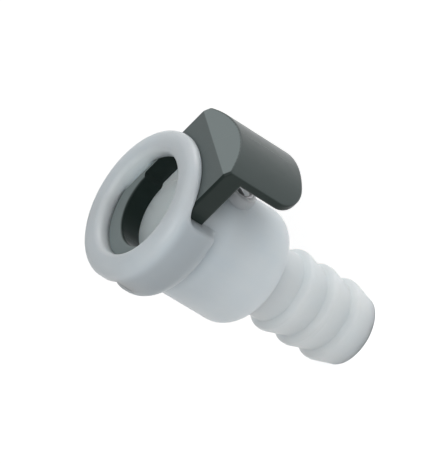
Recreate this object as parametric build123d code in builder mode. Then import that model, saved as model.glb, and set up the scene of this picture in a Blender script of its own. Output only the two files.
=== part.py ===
from build123d import *
import math
import os

# Female half of a plastic quick disconnect coupling: a moulded body with a hose barb, a sliding
# thumb latch, and the shut-off valve inside. Millimetres, +Z towards the mouth, +Y towards the
# thumb pad. The origin is the centre of the barb's end face, on which the coupling stands.

os.makedirs("parts", exist_ok=True)

# ---- driving dimensions ----------------------------------------------------------------------
overall_length = 38.0

# head and mouth
head_radius = 10.5
head_length = 7.3
head_front_round = 1.3
head_rear_round = 1.5
head_blend = 0.6
head_step = 2.2
flange_thickness = 2.0
mouth_radius = 7.3
mouth_round = 0.8
skirt_top = 5.15
skirt_blend = 1.4
skirt_corner_round = 0.8

# barrel
barrel_end_depth = 20.7
barrel_round = 2.8

# hose barb
barb_root_radius = 5.0
barb_crest_radius = 5.87
barb_count = 3
barb_pitch = 4.3
barb_tip_length = 3.8
barb_crest_land = 0.6
barb_step_run = 0.7
barb_crest_round = 0.45
flow_radius = 3.0

# socket and valve chamber
socket_radius = 5.7
socket_chamfer = 0.3
seat_thickness = 3.6
seat_depth = 9.6
seat_step = 0.2
seat_opening_radius = 3.1
seat_cone_radius = 4.05
chamber_radius = 4.9
chamber_floor_depth = 19.4
inlet_chamfer = 0.25

# fits
slide_gap = 0.06
snug_gap = 0.02
seal_gap = 0.05
touch = 0.01

# thumb latch
plate_half_width = 7.0
plate_thickness = 3.15
plate_bottom_radius = 9.5
latch_travel = 0.9
aperture_side_bar = 0.7
aperture_clearance = 0.05
aperture_overtravel = 0.25
aperture_top = 8.3
aperture_corner = 2.5
lip_edge_round = 0.5
pad_crest = 15.7
pad_radius = 11.5
pad_thickness = 1.2
pad_end_depth = 14.45
pad_corner_round = 3.4
latch_edge_round = 0.4
pad_front_edge = 12.5
pad_front_slope = 62.0
pad_stub_radius = 1.2
pad_stub_height = 1.3

# snap wedges that keep the latch in its slot
wedge_reach = 0.4
wedge_height = 1.2
wedge_top = -2.0
wedge_length = 1.8

# latch spring and its pocket
latch_spring_depth = 9.8
latch_spring_radius = 1.75
latch_spring_wire = 0.45
latch_spring_turns = 5.0
pocket_radius = 2.15
pocket_depth = 2.45
boss_radius = 2.75
boss_height = 1.05
boss_round = 0.3

# valve poppet, its ring seal and its spring
poppet_head_radius = 3.9
poppet_head_thickness = 1.5
poppet_nose_recess = 0.1
poppet_core_radius = 1.4
poppet_fin_count = 4
poppet_fin_width = 0.9
poppet_neck_radius = 2.55
poppet_collar_radius = 2.9
poppet_collar_thickness = 0.4
poppet_guide_length = 1.0
poppet_edge_round = 0.3
ring_section_radius = 0.55
valve_spring_radius = 3.5
valve_spring_wire = 0.45
valve_spring_turns = 3.5

# ---- heights worked out from them ------------------------------------------------------------
mouth_z = overall_length
barrel_radius = head_radius - head_step
boss_top = barrel_radius + boss_height
pocket_floor = boss_top - pocket_depth
slot_front_z = mouth_z - flange_thickness
slot_depth = plate_thickness + 2 * slide_gap
slot_rear_z = slot_front_z - slot_depth
head_rear_z = mouth_z - head_length
barrel_end_z = mouth_z - barrel_end_depth
seat_front_z = mouth_z - seat_depth
seat_rear_z = seat_front_z - seat_thickness
chamber_floor_z = mouth_z - chamber_floor_depth
seat_bore_radius = socket_radius - seat_step
slot_half_width = plate_half_width + slide_gap
plate_front_z = slot_front_z - slide_gap
plate_rear_z = plate_front_z - plate_thickness
aperture_half_width = plate_half_width - aperture_side_bar
aperture_radius = socket_radius + aperture_clearance
aperture_offset = latch_travel - aperture_overtravel
pad_centre_y = pad_crest - pad_radius
pad_end_z = mouth_z - pad_end_depth
latch_spring_z = mouth_z - latch_spring_depth
far = 3 * head_radius


def corner(height, rank):
    """Corner of the sketch in work at one height, ranked from the innermost one outwards."""
    return vertices().filter_by_position(Axis.Y, height - touch, height + touch).sort_by(Axis.X)[rank]


def coil_spring(radius, wire, turns, base, axis_dir, length):
    """Compression spring with ground ends, standing on base and reaching length along axis_dir."""
    lift = wire / 4
    start = base.origin + axis_dir * lift
    with BuildPart() as spring:
        with BuildLine() as path:
            Helix(
                pitch=(length - 2 * lift) / turns,
                height=length - 2 * lift,
                radius=radius,
                center=start,
                direction=axis_dir,
            )
        with BuildSketch(Plane(origin=path.line @ 0, z_dir=path.line % 0)):
            Circle(wire / 2)
        sweep(is_frenet=True)
        split(bisect_by=Plane(origin=base.origin, z_dir=axis_dir), keep=Keep.TOP)
        split(bisect_by=Plane(origin=base.origin + axis_dir * length, z_dir=axis_dir), keep=Keep.BOTTOM)
    return spring


# ---- coupling body: head, barrel and hose barb, moulded as one piece --------------------------
with BuildPart() as coupling_body:
    # head, with its outer edges rounded and a soft blend down to the barrel
    with BuildSketch(Plane.XZ):
        with BuildLine():
            Polyline(
                (0, mouth_z),
                (head_radius, mouth_z),
                (head_radius, head_rear_z),
                (barrel_radius, head_rear_z),
                (barrel_radius, head_rear_z - 2 * head_blend),
                (0, head_rear_z - 2 * head_blend),
                close=True,
            )
        make_face()
        fillet(corner(mouth_z, -1), head_front_round)
        fillet(corner(head_rear_z, -1), min(head_rear_round, 0.7 * head_step))
        fillet(corner(head_rear_z, 0), min(head_blend, 0.28 * head_step))
    revolve(axis=Axis.Z)
    # the skirt is cut away beside and above the latch, behind the flange
    with BuildSketch(Plane.YZ):
        with BuildLine():
            Polyline(
                (skirt_top, slot_front_z),
                (far, slot_front_z),
                (far, barrel_end_z),
                (skirt_top, barrel_end_z),
                close=True,
            )
        make_face()
        fillet(corner(slot_front_z, 0), skirt_blend)
    extrude(amount=far, both=True, mode=Mode.SUBTRACT)
    skirt_edges = edges().filter_by(Axis.Z)
    fillet(skirt_edges.filter_by_position(Axis.Y, skirt_top - touch, skirt_top + touch), skirt_corner_round)
    # barrel and hose barb
    with BuildSketch(Plane.XZ):
        with BuildLine():
            Polyline(
                (0, slot_front_z),
                (barrel_radius, slot_front_z),
                (barrel_radius, barrel_end_z),
                (0, barrel_end_z),
                close=True,
            )
        make_face()
        fillet(corner(barrel_end_z, -1), barrel_round)
    revolve(axis=Axis.Z)
    barb_points = [(0, barrel_end_z + barrel_round), (barb_root_radius, barrel_end_z + barrel_round)]
    for index in range(barb_count):
        crest_z = barb_tip_length + (barb_count - 1 - index) * barb_pitch
        barb_points += [
            (barb_root_radius, crest_z + barb_step_run),
            (barb_crest_radius, crest_z),
            (barb_crest_radius, crest_z - barb_crest_land),
        ]
    barb_points += [(barb_root_radius, 0), (0, 0)]
    with BuildSketch(Plane.XZ):
        with BuildLine():
            Polyline(*barb_points, close=True)
        make_face()
        fillet(vertices().group_by(Axis.X)[-1], barb_crest_round)
    revolve(axis=Axis.Z)
    # boss for the latch spring, on the barrel under the thumb pad
    with BuildSketch(Plane.XZ.offset(-boss_top)):
        with Locations((0, latch_spring_z)):
            Circle(boss_radius)
    extrude(amount=boss_top - chamber_radius)
    boss_rim = edges().filter_by_position(Axis.Y, boss_top - touch, boss_top + touch)
    fillet(boss_rim.filter_by(GeomType.CIRCLE), boss_round)
    # bore from the mouth: mouth, socket, valve chamber, flow bore
    with BuildSketch(Plane.XZ):
        with BuildLine():
            CenterArc(
                center=(mouth_radius + mouth_round, mouth_z - mouth_round),
                radius=mouth_round,
                start_angle=90,
                arc_size=90,
            )
            Polyline(
                (mouth_radius, mouth_z - mouth_round),
                (mouth_radius, slot_front_z - slot_depth / 2),
                (socket_radius, slot_front_z - slot_depth / 2),
                (socket_radius, seat_front_z),
                (seat_bore_radius, seat_front_z),
                (seat_bore_radius, seat_rear_z),
                (chamber_radius, seat_rear_z),
                (chamber_radius, chamber_floor_z),
                (flow_radius + inlet_chamfer, chamber_floor_z),
                (flow_radius, chamber_floor_z - inlet_chamfer),
                (flow_radius, 0),
                (0, 0),
                (0, mouth_z),
                (mouth_radius + mouth_round, mouth_z),
            )
        make_face()
    revolve(axis=Axis.Z, mode=Mode.SUBTRACT)
    # spring pocket in the boss
    with BuildSketch(Plane.XZ.offset(-boss_top)):
        with Locations((0, latch_spring_z)):
            Circle(pocket_radius)
    extrude(amount=pocket_depth, mode=Mode.SUBTRACT)
    # latch slot, right through the head from top to bottom, with the wedges' side recesses
    with BuildSketch(Plane.XZ.offset(-far)):
        with Locations((0, (slot_front_z + slot_rear_z) / 2)):
            Rectangle(2 * slot_half_width, slot_depth)
    extrude(amount=2 * far, mode=Mode.SUBTRACT)
    recess_top = wedge_top + slide_gap
    recess_height = wedge_height + latch_travel + 2 * slide_gap
    with BuildSketch(Plane.XZ.offset(-recess_top)):
        with Locations((0, plate_rear_z + plate_thickness / 2)):
            Rectangle(2 * (plate_half_width + wedge_reach + slide_gap), wedge_length + 2 * slide_gap)
    extrude(amount=recess_height, mode=Mode.SUBTRACT)
coupling_body.part.label = "coupling_body"

# ---- thumb latch: slotted plate and thumb pad, moulded as one piece ---------------------------
pad_edge_y = pad_centre_y + math.sqrt(pad_radius**2 - plate_half_width**2)
pad_inner_radius = pad_radius - pad_thickness
pad_inner_y = pad_centre_y + math.sqrt(pad_inner_radius**2 - plate_half_width**2)
plate_corner_y = -math.sqrt(plate_bottom_radius**2 - plate_half_width**2)
slope_run = (pad_crest + 1 - pad_front_edge) / math.tan(math.radians(pad_front_slope))
with BuildPart() as thumb_latch:
    # plate, rounded below and arched above
    with BuildSketch(Plane.XY.offset(plate_rear_z)):
        with BuildLine():
            ThreePointArc(
                (-plate_half_width, plate_corner_y),
                (0, -plate_bottom_radius),
                (plate_half_width, plate_corner_y),
            )
            Line((plate_half_width, plate_corner_y), (plate_half_width, pad_edge_y))
            ThreePointArc((plate_half_width, pad_edge_y), (0, pad_crest), (-plate_half_width, pad_edge_y))
            Line((-plate_half_width, pad_edge_y), (-plate_half_width, plate_corner_y))
        make_face()
    extrude(amount=plate_thickness)
    # thumb pad, an arched shell running back over the barrel
    with BuildSketch(Plane.XY.offset(pad_end_z)):
        with BuildLine():
            ThreePointArc((-plate_half_width, pad_edge_y), (0, pad_crest), (plate_half_width, pad_edge_y))
            Line((plate_half_width, pad_edge_y), (plate_half_width, pad_inner_y))
            ThreePointArc(
                (plate_half_width, pad_inner_y),
                (0, pad_crest - pad_thickness),
                (-plate_half_width, pad_inner_y),
            )
            Line((-plate_half_width, pad_inner_y), (-plate_half_width, pad_edge_y))
        make_face()
    extrude(amount=plate_rear_z - pad_end_z)
    # its rear corners are rounded in plan
    with BuildSketch(Plane.XZ.offset(-far)):
        with Locations((0, pad_end_z)):
            Rectangle(4 * plate_half_width, 2 * pad_corner_round)
        with Locations((0, pad_end_z + 2 * pad_corner_round)):
            RectangleRounded(
                2 * plate_half_width, 4 * pad_corner_round, pad_corner_round, mode=Mode.SUBTRACT
            )
    extrude(amount=2 * far, mode=Mode.SUBTRACT)
    # sloping face between the straight front edge and the arch
    with BuildSketch(Plane.YZ):
        with BuildLine():
            Polyline(
                (pad_front_edge, plate_front_z),
                (pad_crest + 1, plate_front_z - slope_run),
                (pad_crest + 1, plate_front_z + 1),
                (pad_front_edge, plate_front_z + 1),
                close=True,
            )
        make_face()
    extrude(amount=far, both=True, mode=Mode.SUBTRACT)
    # the thumb's side of the pad and the plate's outer edges are rounded
    arch = faces().filter_by(GeomType.CYLINDER).sort_by(SortBy.AREA)[-1]
    slope = faces().filter_by(GeomType.PLANE).sort_by(Axis.Z)[-2]
    rounded = arch.edges() + slope.edges()
    straight = edges().filter_by(GeomType.LINE)
    for axis, place in ((Axis.Z, plate_front_z), (Axis.Z, plate_rear_z), (Axis.Y, pad_inner_y)):
        rounded += straight.filter_by_position(axis, place - touch, place + touch)
    fillet(rounded, latch_edge_round)
    # locating stub for the spring, under the pad
    with BuildSketch(Plane.XZ.offset(-(pad_crest - pad_thickness / 2))):
        with Locations((0, latch_spring_z)):
            Circle(pad_stub_radius)
    extrude(amount=pad_stub_height + pad_thickness / 2)
    # aperture that the insert's nose passes through: a lip below, straight sides above it
    shoulder_y = aperture_offset + aperture_half_width - aperture_radius
    with BuildSketch(Plane.XY.offset(plate_rear_z)):
        with BuildLine():
            ThreePointArc(
                (-aperture_radius, aperture_offset),
                (0, aperture_offset - aperture_radius),
                (aperture_radius, aperture_offset),
            )
            Polyline(
                (aperture_radius, aperture_offset),
                (aperture_half_width, shoulder_y),
                (aperture_half_width, aperture_top),
                (-aperture_half_width, aperture_top),
                (-aperture_half_width, shoulder_y),
                (-aperture_radius, aperture_offset),
            )
        make_face()
        fillet(vertices().group_by(Axis.Y)[-1], aperture_corner)
    extrude(amount=plate_thickness, mode=Mode.SUBTRACT)
    front_edges = edges().filter_by_position(Axis.Z, plate_front_z - touch, plate_front_z + touch)
    lip = [edge for edge in front_edges.filter_by(GeomType.CIRCLE)
           if abs(edge.radius - aperture_radius) < touch]
    fillet(lip, lip_edge_round)
    # snap wedges on the plate's sides
    for side in (-1, 1):
        with BuildSketch(Plane.XY.offset(plate_rear_z + (plate_thickness - wedge_length) / 2)):
            with BuildLine():
                Polyline(
                    (side * (plate_half_width - aperture_side_bar / 2), wedge_top),
                    (side * (plate_half_width + wedge_reach), wedge_top),
                    (side * (plate_half_width + wedge_reach), wedge_top - wedge_height / 4),
                    (side * plate_half_width, wedge_top - wedge_height),
                    (side * (plate_half_width - aperture_side_bar / 2), wedge_top - wedge_height),
                    close=True,
                )
            make_face()
        extrude(amount=wedge_length)
thumb_latch.part.label = "thumb_latch"

# ---- latch spring, between the barrel's pocket and the pad ------------------------------------
latch_spring_top = pad_crest - pad_thickness
latch_spring = coil_spring(
    latch_spring_radius,
    latch_spring_wire,
    latch_spring_turns,
    Plane(origin=(0, pocket_floor + slide_gap, latch_spring_z)),
    Vector(0, 1, 0),
    latch_spring_top - pocket_floor - 2 * slide_gap,
)
latch_spring.part.label = "latch_spring"

# ---- valve seat, a ring pressed in against the chamber's shoulder ------------------------------
seat_cone_depth = seat_cone_radius - seat_opening_radius
with BuildPart() as valve_seat:
    with BuildSketch(Plane.XZ):
        with BuildLine():
            Polyline(
                (seat_opening_radius, seat_front_z),
                (seat_bore_radius - snug_gap, seat_front_z),
                (seat_bore_radius - snug_gap, seat_rear_z),
                (seat_cone_radius, seat_rear_z),
                (seat_opening_radius, seat_rear_z + seat_cone_depth),
                close=True,
            )
        make_face()
        chamfer(vertices().group_by(Axis.Y)[-1], socket_chamfer)
    revolve(axis=Axis.Z)
valve_seat.part.label = "valve_seat"

# ---- valve poppet: finned nose, collar, seal groove, head and spring guide ---------------------
ring_radius = poppet_neck_radius + ring_section_radius + snug_gap
ring_z = seat_rear_z + seat_cone_radius - ring_radius - (ring_section_radius + snug_gap) * math.sqrt(2)
poppet_head_top = ring_z - ring_section_radius - seal_gap
poppet_head_bottom = poppet_head_top - poppet_head_thickness
collar_bottom = ring_z + ring_section_radius + seal_gap
collar_top = collar_bottom + poppet_collar_thickness
nose_top = seat_front_z - poppet_nose_recess
guide_radius = valve_spring_radius - valve_spring_wire / 2 - 2 * seal_gap
with BuildPart() as valve_poppet:
    with BuildSketch(Plane.XZ):
        with BuildLine():
            Polyline(
                (0, nose_top),
                (poppet_core_radius, nose_top),
                (poppet_core_radius, collar_top),
                (poppet_collar_radius, collar_top),
                (poppet_collar_radius, collar_bottom),
                (poppet_neck_radius, collar_bottom),
                (poppet_neck_radius, poppet_head_top),
                (poppet_head_radius, poppet_head_top),
                (poppet_head_radius, poppet_head_bottom),
                (guide_radius, poppet_head_bottom),
                (guide_radius, poppet_head_bottom - poppet_guide_length),
                (0, poppet_head_bottom - poppet_guide_length),
                close=True,
            )
        make_face()
        fillet(vertices().group_by(Axis.Y)[0].sort_by(Axis.X)[-1], poppet_edge_round)
    revolve(axis=Axis.Z)
    with BuildSketch(Plane.XY.offset(collar_top)):
        with PolarLocations(0, poppet_fin_count // 2, angular_range=180):
            Rectangle(2 * seat_opening_radius, poppet_fin_width)
        Circle(seat_opening_radius - seal_gap, mode=Mode.INTERSECT)
    extrude(amount=nose_top - collar_top)
valve_poppet.part.label = "valve_poppet"

# ---- ring seal in the poppet's groove ----------------------------------------------------------
with BuildPart() as poppet_o_ring:
    with BuildSketch(Plane.XZ):
        with Locations((ring_radius, ring_z)):
            Circle(ring_section_radius)
    revolve(axis=Axis.Z)
poppet_o_ring.part.label = "poppet_o_ring"

# ---- valve spring, between the chamber's floor and the poppet's head ---------------------------
valve_spring = coil_spring(
    valve_spring_radius,
    valve_spring_wire,
    valve_spring_turns,
    Plane(origin=(0, 0, chamber_floor_z + seal_gap)),
    Vector(0, 0, 1),
    poppet_head_bottom - chamber_floor_z - 2 * seal_gap,
)
valve_spring.part.label = "valve_spring"

for piece in (
    coupling_body,
    thumb_latch,
    latch_spring,
    valve_seat,
    valve_poppet,
    poppet_o_ring,
    valve_spring,
):
    export_step(piece.part, f"parts/{piece.part.label}.step")
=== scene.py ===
"""Plastic quick disconnect coupling: the dressed visual model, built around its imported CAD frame.

The frame's own bodies carry every piece: ``body`` is the moulded coupling with its fixed parts,
``latch`` is the sliding thumb latch, and ``poppet`` is the shut-off valve. +Z points out of the
mouth, +Y towards the thumb pad, and every length is in metres.
"""

import logging
import math
from dataclasses import dataclass, field
from enum import Enum
from typing import Iterable, Optional

import bmesh
import bpy
from mathutils import Matrix, Vector


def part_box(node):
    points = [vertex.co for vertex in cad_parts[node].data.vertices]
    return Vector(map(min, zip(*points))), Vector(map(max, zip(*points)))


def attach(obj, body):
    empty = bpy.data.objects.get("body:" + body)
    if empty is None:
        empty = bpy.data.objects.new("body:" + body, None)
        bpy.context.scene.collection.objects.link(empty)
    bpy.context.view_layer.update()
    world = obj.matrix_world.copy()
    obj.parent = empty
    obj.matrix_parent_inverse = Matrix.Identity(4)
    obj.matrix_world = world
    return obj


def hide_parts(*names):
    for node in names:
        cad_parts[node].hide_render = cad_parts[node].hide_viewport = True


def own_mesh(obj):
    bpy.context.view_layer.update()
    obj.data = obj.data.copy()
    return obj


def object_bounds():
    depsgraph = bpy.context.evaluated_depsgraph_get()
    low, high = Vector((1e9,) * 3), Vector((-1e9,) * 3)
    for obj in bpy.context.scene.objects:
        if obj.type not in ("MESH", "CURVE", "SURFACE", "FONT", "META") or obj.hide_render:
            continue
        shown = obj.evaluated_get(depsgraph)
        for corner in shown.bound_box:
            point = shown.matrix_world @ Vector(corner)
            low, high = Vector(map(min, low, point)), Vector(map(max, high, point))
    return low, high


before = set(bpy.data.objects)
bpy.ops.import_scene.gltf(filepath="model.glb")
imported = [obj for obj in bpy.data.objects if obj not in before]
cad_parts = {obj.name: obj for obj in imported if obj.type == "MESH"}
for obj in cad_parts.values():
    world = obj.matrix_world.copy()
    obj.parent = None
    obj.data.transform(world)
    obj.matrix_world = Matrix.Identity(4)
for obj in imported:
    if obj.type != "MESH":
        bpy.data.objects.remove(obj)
CAD_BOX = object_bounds()

LOG = logging.getLogger("coupling")
MM = 0.001
WHITE = (1.0, 1.0, 1.0, 1.0)

BYTE_TOP = 255
SRGB_KNEE = 0.04045
SRGB_SLOPE = 12.92
SRGB_OFFSET = 0.055
SRGB_POWER = 2.4


class Body(Enum):
    """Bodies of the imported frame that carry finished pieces."""

    COUPLING = "body"
    LATCH = "latch"


class Node(Enum):
    """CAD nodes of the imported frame."""

    BODY = "coupling_body"
    LATCH = "thumb_latch"
    LATCH_SPRING = "latch_spring"
    SEAT = "valve_seat"
    POPPET = "valve_poppet"
    RING = "poppet_o_ring"
    VALVE_SPRING = "valve_spring"


class Slot(Enum):
    """Material slots of the record."""

    NATURAL = "natural_plastic"
    LATCH = "latch_plastic"
    STEEL = "spring_steel"


def linear(red: int, green: int, blue: int) -> tuple[float, float, float, float]:
    """Turn a display colour into the linear values that a shader takes.

    Args:
        red: the red part, 0 to 255.
        green: the green part, 0 to 255.
        blue: the blue part, 0 to 255.

    Returns:
        Linear red, green, blue and a full alpha.
    """
    values = []
    for byte in (red, green, blue):
        share = byte / BYTE_TOP
        curve = ((share + SRGB_OFFSET) / (1 + SRGB_OFFSET)) ** SRGB_POWER
        values.append(share / SRGB_SLOPE if share <= SRGB_KNEE else curve)
    return (values[0], values[1], values[2], 1.0)


class Nodes:
    """Short way to write a node tree, for a material or for geometry."""

    def __init__(self, tree: bpy.types.NodeTree) -> None:
        """Keep the tree that is written.

        Args:
            tree: the node tree, which is emptied first.
        """
        self.tree = tree
        self.tree.nodes.clear()

    def add(self, kind: str, inputs: Optional[dict] = None, **settings) -> bpy.types.Node:
        """Add one node.

        Args:
            kind: the node's type name.
            inputs: values or output sockets for its inputs, by name or place.
            settings: the node's own properties.

        Returns:
            The new node.
        """
        node = self.tree.nodes.new(kind)
        for name, value in settings.items():
            setattr(node, name, value)
        for key, value in (inputs or {}).items():
            if isinstance(value, bpy.types.NodeSocket):
                self.tree.links.new(value, node.inputs[key])
            else:
                node.inputs[key].default_value = value
        return node

    def math(self, operation: str, *terms) -> bpy.types.NodeSocket:
        """Add a math node and return its value.

        Args:
            operation: the node's operation.
            terms: numbers or output sockets, in the node's order.

        Returns:
            The result's socket.
        """
        return self.add("ShaderNodeMath", dict(enumerate(terms)), operation=operation).outputs[0]


@dataclass(frozen=True)
class Finish:
    """What every finish has: a name, and a tree that ends in a Principled shader."""

    name: str

    def material(self) -> bpy.types.Material:
        """Make the material once.

        Returns:
            The new material, or the one that was made before under this name.
        """
        found = bpy.data.materials.get(self.name)
        if found:
            return found
        made = bpy.data.materials.new(self.name)
        made.use_nodes = True
        tree = Nodes(made.node_tree)
        place = tree.add("ShaderNodeTexCoord").outputs["Object"]
        shader = self.shader(tree, place)
        tree.add("ShaderNodeOutputMaterial", {"Surface": shader})
        return made

    def shader(self, tree: Nodes, place: bpy.types.NodeSocket) -> bpy.types.NodeSocket:
        """Write the surface; every kind of finish has its own.

        Args:
            tree: the material's tree.
            place: object coordinates.

        Returns:
            The shader's socket.
        """
        raise NotImplementedError


@dataclass(frozen=True)
class MouldedPlastic(Finish):
    """Injection moulded plastic: soft colour drift, flow streaks, satin grain and scuffs."""

    colour: tuple = (0.6, 0.6, 0.6, 1.0)
    deep: tuple = (0.5, 0.5, 0.5, 1.0)
    roughness: float = 0.42
    roughness_drift: float = 0.08
    translucence: float = 0.0
    glow: tuple = (1.0, 0.97, 0.92)
    glow_depth: float = 2.0 * MM
    grain_size: float = 0.16 * MM
    grain_height: float = 0.006 * MM
    drift_size: float = 9.0 * MM
    specular: float = 0.5
    sheen: float = 0.0
    sheen_roughness: float = 0.35
    seam_width: float = 0.07 * MM
    seam_height: float = 0.02 * MM
    streak_stretch: tuple = (1.0, 1.0, 0.22)
    streaks_per_drift: float = 4.2
    streak_share: float = 0.35
    drift_share: float = 0.65
    tone_limits: tuple = (0.36, 0.64)
    scuffs_per_drift: float = 5.4
    scuff_limits: tuple = (0.3, 0.7)
    relief: float = 0.6
    refraction: float = 1.48

    def tint(self, tree: Nodes, place: bpy.types.NodeSocket,
             colour: bpy.types.NodeSocket) -> bpy.types.NodeSocket:
        """Change the plain colour from place to place; plain plastic keeps it."""
        return colour

    def roughen(self, tree: Nodes, rough: bpy.types.NodeSocket) -> bpy.types.NodeSocket:
        """Change the plain roughness from place to place; plain plastic keeps it."""
        return rough

    def seam(self, tree: Nodes, place: bpy.types.NodeSocket) -> bpy.types.NodeSocket:
        """Give the fine raised line where the mould's halves met, in the plane of x = 0.

        Args:
            tree: the material's tree.
            place: object coordinates.

        Returns:
            The socket of the line's height.
        """
        across = tree.add("ShaderNodeSeparateXYZ", {0: place}).outputs["X"]
        return tree.add("ShaderNodeMapRange", {
            "Value": tree.math("ABSOLUTE", across), "From Min": 0.0, "From Max": self.seam_width,
            "To Min": self.seam_height, "To Max": 0.0}, interpolation_type="SMOOTHSTEP").outputs[0]

    def shader(self, tree: Nodes, place: bpy.types.NodeSocket) -> bpy.types.NodeSocket:
        """Write the plastic.

        Args:
            tree: the material's tree.
            place: object coordinates.

        Returns:
            The Principled shader's socket.
        """
        drift = tree.add("ShaderNodeTexNoise", {
            "Vector": place, "Scale": 1 / self.drift_size, "Detail": 3.0, "Roughness": 0.55})
        stretched = tree.add("ShaderNodeMapping", {"Vector": place, "Scale": self.streak_stretch})
        streaks = tree.add("ShaderNodeTexNoise", {
            "Vector": stretched.outputs[0], "Scale": self.streaks_per_drift / self.drift_size,
            "Detail": 4.0})
        blend = tree.math("MULTIPLY_ADD", streaks.outputs[0], self.streak_share,
                          tree.math("MULTIPLY", drift.outputs[0], self.drift_share))
        tone = tree.add("ShaderNodeMapRange", {
            "Value": blend, "From Min": self.tone_limits[0], "From Max": self.tone_limits[1]})
        colour = tree.add("ShaderNodeMix", {
            "Factor": tone.outputs[0], "A": self.deep, "B": self.colour}, data_type="RGBA")
        grain = tree.add("ShaderNodeTexNoise", {
            "Vector": place, "Scale": 1 / self.grain_size, "Detail": 2.0})
        scuffs = tree.add("ShaderNodeTexNoise", {
            "Vector": place, "Scale": self.scuffs_per_drift / self.drift_size, "Detail": 6.0,
            "Roughness": 0.7})
        rough = tree.add("ShaderNodeMapRange", {
            "Value": scuffs.outputs[0],
            "From Min": self.scuff_limits[0], "From Max": self.scuff_limits[1],
            "To Min": self.roughness - self.roughness_drift,
            "To Max": self.roughness + self.roughness_drift})
        height = tree.math(
            "MULTIPLY_ADD", grain.outputs[0], self.grain_height, self.seam(tree, place))
        relief = tree.add("ShaderNodeBump", {
            "Height": height, "Strength": self.relief, "Distance": 1.0})
        plastic = tree.add("ShaderNodeBsdfPrincipled", {
            "Base Color": self.tint(tree, place, colour.outputs["Result"]),
            "Roughness": self.roughen(tree, rough.outputs[0]),
            "Normal": relief.outputs[0], "Specular IOR Level": self.specular,
            "Subsurface Weight": self.translucence, "Subsurface Radius": self.glow,
            "Subsurface Scale": self.glow_depth, "IOR": self.refraction,
            "Sheen Weight": self.sheen, "Sheen Roughness": self.sheen_roughness})
        return plastic.outputs[0]


@dataclass(frozen=True)
class MattAndLitPlastic(MouldedPlastic):
    """Moulded plastic whose thumb faces come matt from the mould and whose sides come polished; the
    faces that the mask picks are also painted lighter as painted light, and the rest stay dark as
    painted shade.
    """

    matt_lit_colour: tuple = (0.15, 0.15, 0.15, 1.0)
    matt_roughness: float = 0.55
    mask: str = "matt"

    def share(self, tree: Nodes) -> bpy.types.NodeSocket:
        """Read the piece's own mask: how matt each place is, and how much painted light its colour
        takes.
        """
        return tree.add("ShaderNodeAttribute", attribute_name=self.mask).outputs["Fac"]

    def tint(self, tree: Nodes, place: bpy.types.NodeSocket,
             colour: bpy.types.NodeSocket) -> bpy.types.NodeSocket:
        """Lighten the matt places with painted light."""
        return tree.add("ShaderNodeMix", {
            "Factor": self.share(tree), "A": colour, "B": self.matt_lit_colour},
            data_type="RGBA").outputs["Result"]

    def roughen(self, tree: Nodes, rough: bpy.types.NodeSocket) -> bpy.types.NodeSocket:
        """Roughen the matt places."""
        return tree.add("ShaderNodeMapRange", {
            "Value": self.share(tree), "To Min": rough, "To Max": self.matt_roughness}).outputs[0]


@dataclass(frozen=True)
class ThinWallShadedPlastic(MouldedPlastic):
    """Pale plastic darker or lighter by height: partly what stands behind showing through its
    walls, partly painted shade on the head and in the hollow between head and barrel.
    """

    height_shades: tuple = ((0.0, 1.0), (1.0, 1.0))
    reach: float = 38.0 * MM
    bore_painted_light: tuple = (0.9, 0.9, 0.9, 1.0)
    mouth_radius: float = 6.9 * MM
    bore_radius: float = 8.0 * MM
    bore_start: float = 18.5 * MM

    def tint(self, tree: Nodes, place: bpy.types.NodeSocket,
             colour: bpy.types.NodeSocket) -> bpy.types.NodeSocket:
        """Darken the outside by its height, partly as painted shade, and paint the socket's inner
        walls lighter as painted light.

        Args:
            tree: the material's tree.
            place: object coordinates.
            colour: the plain colour.

        Returns:
            The changed colour's socket.
        """
        parts = tree.add("ShaderNodeSeparateXYZ", {0: place}).outputs
        # Partly painted shade: the ramp multiplies the outside darker by height, most on the head
        # and between head and barrel; the rest stands for the dark latch seen through the wall.
        ramp = tree.add("ShaderNodeValToRGB", {
            "Fac": tree.math("DIVIDE", parts["Z"], self.reach)})
        stops = ramp.color_ramp
        stops.interpolation = "EASE"
        while len(stops.elements) < len(self.height_shades):
            stops.elements.new(1.0)
        for stop, (height, tone) in zip(stops.elements, self.height_shades):
            stop.position = height / self.reach
            stop.color = (tone, tone, tone, 1.0)
        outside = tree.add("ShaderNodeMix", {
            "Factor": 1.0, "A": colour, "B": ramp.outputs[0]},
            data_type="RGBA", blend_type="MULTIPLY").outputs["Result"]
        # Painted light: the socket's inner walls, above bore_start and within bore_radius, turn
        # towards the lighter socket colour.
        radius = tree.math("SQRT", tree.math(
            "ADD", tree.math("POWER", parts["X"], 2.0), tree.math("POWER", parts["Y"], 2.0)))
        within = tree.add("ShaderNodeMapRange", {
            "Value": radius, "From Min": self.mouth_radius, "From Max": self.bore_radius,
            "To Min": 1.0, "To Max": 0.0}, interpolation_type="SMOOTHSTEP").outputs[0]
        bore_light_share = tree.math("MULTIPLY", within,
                           tree.math("GREATER_THAN", parts["Z"], self.bore_start))
        return tree.add("ShaderNodeMix", {
            "Factor": bore_light_share, "A": outside, "B": self.bore_painted_light}, data_type="RGBA").outputs["Result"]


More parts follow.
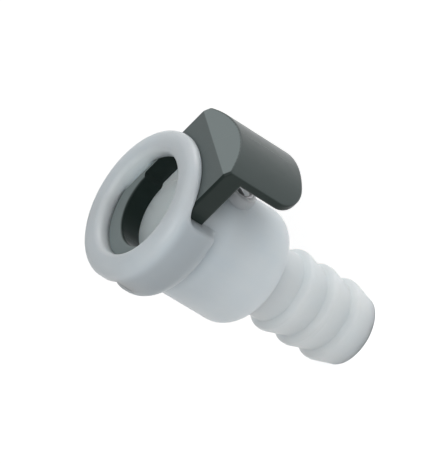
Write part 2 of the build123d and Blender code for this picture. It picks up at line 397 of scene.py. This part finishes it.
@dataclass(frozen=True)
class DrawnSteel(Finish):
    """Drawn spring wire: fine lines along the wire's turns and a slightly uneven sheen."""

    colour: tuple = (0.46, 0.46, 0.47, 1.0)
    dark: tuple = (0.30, 0.30, 0.32, 1.0)
    line_size: float = 0.05 * MM
    line_depth: float = 0.004 * MM
    relief: float = 0.4
    patches_per_metre: float = 900.0
    roughness: tuple = (0.36, 0.58)

    def shader(self, tree: Nodes, place: bpy.types.NodeSocket) -> bpy.types.NodeSocket:
        """Write the wire.

        Args:
            tree: the material's tree.
            place: object coordinates.

        Returns:
            The Principled shader's socket.
        """
        lines = tree.add("ShaderNodeTexNoise", {
            "Vector": place, "Scale": 1 / self.line_size, "Detail": 2.0})
        patches = tree.add("ShaderNodeTexNoise", {
            "Vector": place, "Scale": self.patches_per_metre, "Detail": 3.0})
        colour = tree.add("ShaderNodeMix", {
            "Factor": patches.outputs[0], "A": self.dark, "B": self.colour}, data_type="RGBA")
        rough = tree.add("ShaderNodeMapRange", {
            "Value": lines.outputs[0],
            "To Min": self.roughness[0], "To Max": self.roughness[1]})
        relief = tree.add("ShaderNodeBump", {
            "Height": lines.outputs[0], "Strength": self.relief, "Distance": self.line_depth})
        wire = tree.add("ShaderNodeBsdfPrincipled", {
            "Base Color": colour.outputs["Result"], "Metallic": 1.0,
            "Roughness": rough.outputs[0], "Normal": relief.outputs[0]})
        return wire.outputs[0]


@dataclass(frozen=True)
class SealRubber(Finish):
    """Black moulded rubber with a fine bloom."""

    colour: tuple = (0.012, 0.012, 0.013, 1.0)
    bloom: tuple = (0.035, 0.035, 0.036, 1.0)
    bloom_per_metre: float = 700.0
    bloom_depth: float = 0.01 * MM
    relief: float = 0.3
    roughness: tuple = (0.45, 0.65)

    def shader(self, tree: Nodes, place: bpy.types.NodeSocket) -> bpy.types.NodeSocket:
        """Write the rubber.

        Args:
            tree: the material's tree.
            place: object coordinates.

        Returns:
            The Principled shader's socket.
        """
        bloom = tree.add("ShaderNodeTexNoise", {
            "Vector": place, "Scale": self.bloom_per_metre, "Detail": 5.0})
        colour = tree.add("ShaderNodeMix", {
            "Factor": bloom.outputs[0], "A": self.colour, "B": self.bloom}, data_type="RGBA")
        rough = tree.add("ShaderNodeMapRange", {
            "Value": bloom.outputs[0],
            "To Min": self.roughness[0], "To Max": self.roughness[1]})
        relief = tree.add("ShaderNodeBump", {
            "Height": bloom.outputs[0], "Strength": self.relief, "Distance": self.bloom_depth})
        rubber = tree.add("ShaderNodeBsdfPrincipled", {
            "Base Color": colour.outputs["Result"], "Roughness": rough.outputs[0],
            "Normal": relief.outputs[0]})
        return rubber.outputs[0]


# Height shades: darker from the barb up to the head, most at the hollow between head and barrel.
# This is partly the dark latch seen through the wall and partly painted shade.
NATURAL = ThinWallShadedPlastic(
    name="natural_moulded_plastic", colour=linear(238, 248, 254), deep=linear(232, 244, 252),
    roughness=0.38, translucence=1.0, glow=(1.0, 0.98, 0.95), glow_depth=6.0 * MM,
    height_shades=((0.0, 0.98), (14.0 * MM, 0.97), (22.0 * MM, 0.87), (28.0 * MM, 0.77), (32.0 * MM, 0.51),
           (35.3 * MM, 0.58), (37.2 * MM, 0.77), (38.0 * MM, 0.77)),
    # The socket colour is painted light.
    bore_painted_light=linear(236, 249, 254))
# Lit and shaded copies of one grey: the matt colour is painted light on the faces that the shares
# pick, and the dark colour is painted shade on the sides and inner walls.
LATCH_GREY = MattAndLitPlastic(
    name="grey_latch_plastic", colour=linear(33, 45, 42), deep=linear(27, 39, 36),
    matt_lit_colour=linear(129, 139, 139), roughness=0.36, grain_height=0.008 * MM, specular=0.22,
    sheen=0.4)
VALVE_WHITE = MouldedPlastic(
    name="white_valve_plastic", colour=linear(242, 247, 245), deep=linear(236, 242, 240),
    roughness=0.46, translucence=0.6)
WIRE = DrawnSteel(name="drawn_spring_wire")
RUBBER = SealRubber(name="black_seal_rubber")


def dress(obj: bpy.types.Object, finish: Finish) -> None:
    """Give every material slot of an object one finish.

    Args:
        obj: a CAD node's object or a finished piece.
        finish: the finish that it takes.
    """
    made = finish.material()
    if not obj.material_slots:
        obj.data.materials.append(made)
    for place in obj.material_slots:
        place.material = made


def link(name: str, mesh: bpy.types.Mesh) -> bpy.types.Object:
    """Put a mesh into the scene as an object at the origin.

    Args:
        name: the piece's name.
        mesh: its mesh, in the row's frame.

    Returns:
        The new object.
    """
    obj = bpy.data.objects.new(name, mesh)
    bpy.context.scene.collection.objects.link(obj)
    return obj


@dataclass(frozen=True)
class MattAndLitShare:
    """Faces that come matt from the mould and are painted lighter as painted light, by the way that
    they point and their height in y.

    Attributes:
        way: the direction that they face.
        spread: the angle off that direction that counts as one, in radians.
        level: how matt they are and how much painted light they take at most, 0 to 1.
        low: their lower limit in y, in metres.
        high: their upper limit in y, in metres.
        outer: the angle, in spreads, at which nothing is left of the level.
        softness: the angle, in spreads, over which the level falls to nothing.
    """

    way: Vector
    spread: float
    level: float
    low: float
    high: float
    outer: float = 1.5
    softness: float = 0.7

    def at(self, normal: Vector, height: float) -> float:
        """Give how matt a place is and how much painted light it takes, falling off softly at the
        rim of the spread.

        Args:
            normal: the way that the place points.
            height: its y, in metres.

        Returns:
            A share of 0 to the level.
        """
        if not self.low < height < self.high:
            return 0.0
        turned = normal.angle(self.way, math.pi) / self.spread
        fall = min(max((self.outer - turned) / self.softness, 0.0), 1.0)
        return self.level * fall * fall * (3.0 - 2.0 * fall)


@dataclass
class SoftenedPiece:
    """A CAD node's solid as one joined mesh, with its sharp edges broken as by a mould."""

    name: str
    node: Node
    body: Body
    slot: Slot
    finish: Finish
    edge_break: float = 0.12 * MM
    sharp: float = math.radians(28)
    segments: int = 2
    shares: tuple = ()
    merge: float = 0.002 * MM
    flat: float = math.radians(0.4)
    cut: float = 0.001 * MM
    crease: float = math.radians(40)

    def mask(self, mesh: bpy.types.Mesh) -> None:
        """Write how matt each face comes from the mould and how much painted light its colour
        takes, by the way that it points.

        Args:
            mesh: the piece's finished mesh.
        """
        # This mask also carries painted light: where it is high the colour is lightened, not only
        # the roughness.
        layer = mesh.attributes.new("matt", "FLOAT", "CORNER")
        for face in mesh.polygons:
            for corner in face.loop_indices:
                normal = mesh.corner_normals[corner].vector
                layer.data[corner].value = max(
                    share.at(normal, face.center.y) for share in self.shares)

    def mesh(self) -> bpy.types.Mesh:
        """Join the node's loose triangles, bevel its sharp edges and cut it at the limits.

        Returns:
            The mesh, smooth but for its creases.
        """
        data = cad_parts[self.node.value].data.copy()
        data.name = self.name
        work = bmesh.new()
        work.from_mesh(data)
        bmesh.ops.remove_doubles(work, verts=work.verts, dist=self.merge)
        bmesh.ops.dissolve_limit(
            work, angle_limit=self.flat, verts=work.verts, edges=work.edges)
        edges = [edge for edge in work.edges
                 if edge.is_manifold and edge.calc_face_angle(0.0) > self.sharp]
        bmesh.ops.bevel(
            work, geom=edges, offset=self.edge_break, segments=self.segments, profile=0.5,
            affect="EDGES", clamp_overlap=True, material=-1)
        limits = {limit for share in self.shares for limit in (share.low, share.high)}
        for height in sorted(limits):
            bmesh.ops.bisect_plane(
                work, geom=[*work.verts, *work.edges, *work.faces], dist=self.cut,
                plane_co=(0.0, height, 0.0), plane_no=(0.0, 1.0, 0.0))
        work.to_mesh(data)
        work.free()
        data.materials.clear()
        data.shade_smooth()
        data.set_sharp_from_angle(angle=self.crease)
        return data

    def evened(self, mesh: bpy.types.Mesh) -> bpy.types.Mesh:
        """Keep flat faces flat up to their broken edges, by normals weighted by area.

        Args:
            mesh: the bevelled mesh.

        Returns:
            The mesh with those normals, and with its mask.
        """
        work = link(f"{self.name}_work", mesh)
        weighted = work.modifiers.new("weighted", "WEIGHTED_NORMAL")
        weighted.keep_sharp = True
        even = bpy.data.meshes.new_from_object(
            work.evaluated_get(bpy.context.evaluated_depsgraph_get()))
        bpy.data.objects.remove(work)
        bpy.data.meshes.remove(mesh)
        even.name = self.name
        if self.shares:
            self.mask(even)
        return even

    def build(self) -> list[bpy.types.Object]:
        """Make the piece, dress it and let it stand for its node.

        Returns:
            The finished pieces.
        """
        piece = link(self.name, self.evened(self.mesh()))
        dress(piece, self.finish)
        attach(piece, self.body.value)
        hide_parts(self.node.value)
        return [piece]


@dataclass
class CarriedPiece:
    """A CAD node whose own shape is right, with its finish."""

    node: Node
    finish: Finish

    def build(self) -> list[bpy.types.Object]:
        """Dress the node.

        Returns:
            The dressed node.
        """
        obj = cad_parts[self.node.value]
        dress(obj, self.finish)
        return [obj]


@dataclass
class ClosedSpring:
    """Compression spring with closed ends, wound by geometry nodes."""

    name: str
    node: Node
    joint: str
    travel: float
    axis: Vector
    wire: float = 0.45 * MM
    turns: float = 6.0
    closed: float = 0.9
    finish: Finish = WIRE
    points_per_turn: float = 40.0
    section_points: int = 14

    def tree(self) -> bpy.types.GeometryNodeTree:
        """Write the winding: a line of points wound round +Z, with the pitch of closed ends.

        Returns:
            The node group, with named inputs for its sizes and its finish.
        """
        group = bpy.data.node_groups.new(f"{self.name}_winding", "GeometryNodeTree")
        for label in ("Radius", "Wire", "Turns", "Closed", "Length"):
            group.interface.new_socket(label, in_out="INPUT", socket_type="NodeSocketFloat")
        group.interface.new_socket("Finish", in_out="INPUT", socket_type="NodeSocketMaterial")
        group.interface.new_socket("Spring", in_out="OUTPUT", socket_type="NodeSocketGeometry")
        tree = Nodes(group)
        given = tree.add("NodeGroupInput").outputs
        count = tree.math("ADD", tree.math(
            "MULTIPLY", given["Turns"], self.points_per_turn), 1.0)
        line = tree.add("GeometryNodeMeshLine", {"Count": count, "Offset": (0.0, 0.0, 0.0)})
        index = tree.add("GeometryNodeInputIndex").outputs[0]
        turn = tree.math("DIVIDE", index, self.points_per_turn)
        angle = tree.math("MULTIPLY", turn, 2 * math.pi)
        both_ends = tree.math("MULTIPLY", given["Closed"], 2.0)
        open_turns = tree.math("SUBTRACT", given["Turns"], both_ends)
        first = tree.math("MINIMUM", turn, given["Closed"])
        last = tree.math("MAXIMUM", tree.math("SUBTRACT", turn, tree.math(
            "ADD", given["Closed"], open_turns)), 0.0)
        middle = tree.math("SUBTRACT", tree.math("SUBTRACT", turn, first), last)
        flat = tree.math("MULTIPLY", tree.math("ADD", first, last), given["Wire"])
        room = tree.math("SUBTRACT", tree.math("SUBTRACT", given["Length"], given["Wire"]),
                         tree.math("MULTIPLY", both_ends, given["Wire"]))
        pitch = tree.math("DIVIDE", room, open_turns)
        wire_radius = tree.math("MULTIPLY", given["Wire"], 0.5)
        height = tree.math("ADD", tree.math("ADD", flat, tree.math("MULTIPLY", middle, pitch)),
                           wire_radius)
        place = tree.add("ShaderNodeCombineXYZ", {
            0: tree.math("MULTIPLY", given["Radius"], tree.math("COSINE", angle)),
            1: tree.math("MULTIPLY", given["Radius"], tree.math("SINE", angle)),
            2: height})
        wound = tree.add("GeometryNodeSetPosition", {
            "Geometry": line.outputs[0], "Position": place.outputs[0]})
        path = tree.add("GeometryNodeMeshToCurve", {"Mesh": wound.outputs[0]})
        section = tree.add("GeometryNodeCurvePrimitiveCircle", {
            "Resolution": self.section_points, "Radius": wire_radius})
        coil = tree.add("GeometryNodeCurveToMesh", {
            "Curve": path.outputs[0], "Profile Curve": section.outputs[0], "Fill Caps": True})
        smooth = tree.add("GeometryNodeSetShadeSmooth", {"Geometry": coil.outputs[0]})
        real = tree.add("GeometryNodeRealizeInstances", {"Geometry": smooth.outputs[0]})
        final = tree.add("GeometryNodeSetMaterial", {
            "Geometry": real.outputs[0], "Material": given["Finish"]})
        tree.add("NodeGroupOutput", {0: final.outputs[0]})
        return group

    def build(self) -> list[bpy.types.Object]:
        """Wind the spring in its node's box.

        Returns:
            The finished spring.
        """
        low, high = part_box(self.node.value)
        axis = self.axis
        across = Vector((1.0, 0.0, 0.0))
        length = (high - low).dot(axis)
        radius = (high - low).dot(across) / 2 - self.wire / 2
        middle = (low + high) / 2
        base = middle - axis * length / 2
        group = self.tree()
        work = link(f"{self.name}_work", bpy.data.meshes.new(f"{self.name}_work"))
        modifier = work.modifiers.new("winding", "NODES")
        modifier.node_group = group
        values = {"Radius": radius, "Wire": self.wire, "Turns": self.turns,
                  "Closed": self.closed, "Length": length, "Finish": self.finish.material()}
        for item in group.interface.items_tree:
            if item.in_out == "INPUT":
                modifier[item.identifier] = values[item.name]
        mesh = bpy.data.meshes.new_from_object(
            work.evaluated_get(bpy.context.evaluated_depsgraph_get()))
        work.modifiers.remove(modifier)
        bpy.data.objects.remove(work)
        mesh.name = self.name
        turned = Vector((0.0, 0.0, 1.0)).rotation_difference(axis).to_matrix().to_4x4()
        mesh.transform(Matrix.Translation(base) @ turned)
        piece = link(self.name, mesh)
        dress(piece, self.finish)
        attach(piece, Body.COUPLING.value)
        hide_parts(self.node.value)
        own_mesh(piece)
        return [piece]


@dataclass(frozen=True)
class Lamp:
    """Soft square lamp: the way to it, its power in watts, its side and its distance in metres."""

    name: str
    towards: Vector
    power: float
    size: float
    distance: float


LAMPS = (
    Lamp("top_lamp", Vector((-0.6, 0.8, 0.2)), power=0.62, size=0.22, distance=0.45),
    Lamp("side_lamp", Vector((0.85, 0.25, 0.75)), power=0.56, size=0.2, distance=0.5),
)


@dataclass
class Studio:
    """Pale floor, soft lights and the camera."""

    floor_reach: float = 2.0
    aim: Vector = field(default_factory=lambda: Vector((4.444, 4.524, 28.434)) * MM)
    distance: float = 0.5
    azimuth: float = math.radians(114.87)
    elevation: float = math.radians(31.81)
    roll: float = math.radians(-58.44)
    lens: float = 306.5
    clip: tuple = (0.01, 20.0)
    dim_sky: float = 0.35
    bright_sky: float = 0.53
    sky_up: float = 0.7
    sky_right: float = 0.6
    floor_grey: float = 0.88
    floor_glow: float = 0.55

    def view_axes(self) -> tuple[Vector, Vector, Vector]:
        """Give the directions that the camera stands in.

        Returns:
            Its right, up and back directions.
        """
        azimuth, elevation = self.azimuth, self.elevation
        right = Vector((math.cos(azimuth), math.sin(azimuth), 0.0))
        up = Vector((-math.sin(azimuth) * math.sin(elevation),
                     math.cos(azimuth) * math.sin(elevation), math.cos(elevation)))
        rolled = math.cos(self.roll) * right + math.sin(self.roll) * up
        above = math.cos(self.roll) * up - math.sin(self.roll) * right
        return rolled, above, rolled.cross(above)

    def bright_side(self) -> Vector:
        """Give the direction from which most of the soft light comes.

        Returns:
            Its unit vector.
        """
        right, up, _ = self.view_axes()
        return (up * self.sky_up + right * self.sky_right).normalized()

    def camera(self) -> None:
        """Place the camera."""
        right, up, back = self.view_axes()
        data = bpy.data.cameras.new("view")
        data.lens = self.lens
        data.clip_start, data.clip_end = self.clip
        obj = bpy.data.objects.new("view", data)
        turn = Matrix((right, up, back)).transposed().to_4x4()
        obj.matrix_world = Matrix.Translation(self.aim + back * self.distance) @ turn
        bpy.context.scene.collection.objects.link(obj)
        bpy.context.scene.camera = obj

    def floor(self) -> None:
        """Lay the floor under the coupling's lowest point."""
        reach, level = self.floor_reach, CAD_BOX[0][2]
        mesh = bpy.data.meshes.new("floor")
        corners = [(-reach, -reach), (reach, -reach), (reach, reach), (-reach, reach)]
        mesh.from_pydata([(x, y, level) for x, y in corners], [], [(0, 1, 2, 3)])
        obj = link("floor", mesh)
        made = bpy.data.materials.new("pale_floor")
        made.use_nodes = True
        tree = Nodes(made.node_tree)
        ray = tree.add("ShaderNodeLightPath").outputs
        seen = tree.math("MAXIMUM", ray["Is Camera Ray"], tree.math(
            "MAXIMUM", ray["Is Glossy Ray"], ray["Is Transmission Ray"]))
        grey = (self.floor_grey, self.floor_grey, self.floor_grey, 1.0)
        matt = tree.add("ShaderNodeBsdfDiffuse", {"Color": grey})
        white = tree.add("ShaderNodeEmission", {"Strength": self.floor_glow})
        lit = tree.add("ShaderNodeAddShader", {0: matt.outputs[0], 1: white.outputs[0]})
        both = tree.add("ShaderNodeMixShader", {0: seen, 1: matt.outputs[0], 2: lit.outputs[0]})
        tree.add("ShaderNodeOutputMaterial", {"Surface": both.outputs[0]})
        mesh.materials.append(made)

    def world(self) -> None:
        """Set the even surrounding light, with white behind the object."""
        world = bpy.data.worlds.new("studio")
        bpy.context.scene.world = world
        world.use_nodes = True
        tree = Nodes(world.node_tree)
        ray = tree.add("ShaderNodeLightPath").outputs
        way = tree.add("ShaderNodeTexCoord").outputs["Generated"]
        towards = tree.add("ShaderNodeVectorMath", {0: way, 1: self.bright_side()},
                           operation="DOT_PRODUCT").outputs["Value"]
        level = tree.add("ShaderNodeMapRange", {
            "Value": towards, "From Min": -1.0, "From Max": 1.0,
            "To Min": self.dim_sky, "To Max": self.bright_sky})
        even = tree.add("ShaderNodeBackground", {
            "Color": WHITE, "Strength": level.outputs[0]})
        white = tree.add("ShaderNodeBackground", {"Color": WHITE, "Strength": 1.0})
        both = tree.add("ShaderNodeMixShader", {
            0: ray["Is Camera Ray"], 1: even.outputs[0], 2: white.outputs[0]})
        tree.add("ShaderNodeOutputWorld", {"Surface": both.outputs[0]})

    def lamp(self, lamp: Lamp) -> None:
        """Hang one soft lamp that looks at the coupling.

        Args:
            lamp: where it hangs and how strong it is.
        """
        data = bpy.data.lights.new(lamp.name, "AREA")
        data.energy = lamp.power
        data.size = lamp.size
        obj = bpy.data.objects.new(lamp.name, data)
        way = lamp.towards.normalized()
        middle = Vector((0.0, 0.0, (CAD_BOX[0][2] + CAD_BOX[1][2]) / 2))
        obj.matrix_world = Matrix.Translation(middle + way * lamp.distance) @ way.to_track_quat(
            "Z", "Y").to_matrix().to_4x4()
        bpy.context.scene.collection.objects.link(obj)

    def build(self) -> None:
        """Set the whole studio."""
        bpy.context.scene.view_settings.view_transform = "Standard"
        self.camera()
        self.floor()
        self.world()
        for lamp in LAMPS:
            self.lamp(lamp)


TOWARDS_MOUTH = Vector((0.0, 0.0, 1.0))
TOWARDS_PAD = Vector((0.0, 1.0, 0.0))

# The latch's matt faces, which also take the lighter colour as painted light where the light falls:
# the pad's sloping front, the plate's upper front, its lower front and the faces that look out of
# the pad; the rest stays dark as painted shade.
LATCH_SHARES = (
    MattAndLitShare(Vector((0.0, 0.47, 0.88)), 0.24, 1.0, low=12.0 * MM, high=16.0 * MM),
    MattAndLitShare(TOWARDS_MOUTH, 0.2, 0.58, low=5.5 * MM, high=13.0 * MM),
    MattAndLitShare(TOWARDS_MOUTH, 0.7, 1.0, low=-11.0 * MM, high=5.5 * MM),
    MattAndLitShare(TOWARDS_PAD, 0.9, 0.26, low=11.0 * MM, high=16.0 * MM),
)

LATCH_TRAVEL = 0.9 * MM
VALVE_TRAVEL = 2.0 * MM


def main() -> None:
    """Build the sub-assemblies in order and report each piece."""
    logging.basicConfig(level=logging.INFO, format="%(name)s: %(message)s")
    assemblies: Iterable = (
        SoftenedPiece("body_moulding", Node.BODY, Body.COUPLING, Slot.NATURAL, NATURAL),
        SoftenedPiece("latch_moulding", Node.LATCH, Body.LATCH, Slot.LATCH, LATCH_GREY,
                      shares=LATCH_SHARES),
        CarriedPiece(Node.SEAT, VALVE_WHITE),
        CarriedPiece(Node.POPPET, VALVE_WHITE),
        CarriedPiece(Node.RING, RUBBER),
        ClosedSpring("latch_coil", Node.LATCH_SPRING, "latch_press", LATCH_TRAVEL,
                     TOWARDS_PAD, turns=6.5),
        ClosedSpring("valve_coil", Node.VALVE_SPRING, "valve_open", VALVE_TRAVEL,
                     TOWARDS_MOUTH, turns=4.0),
    )
    for assembly in assemblies:
        for piece in assembly.build():
            LOG.info("%s: %d faces", piece.name, len(piece.data.polygons))
    Studio().build()


if __name__ == "__main__":
    main()
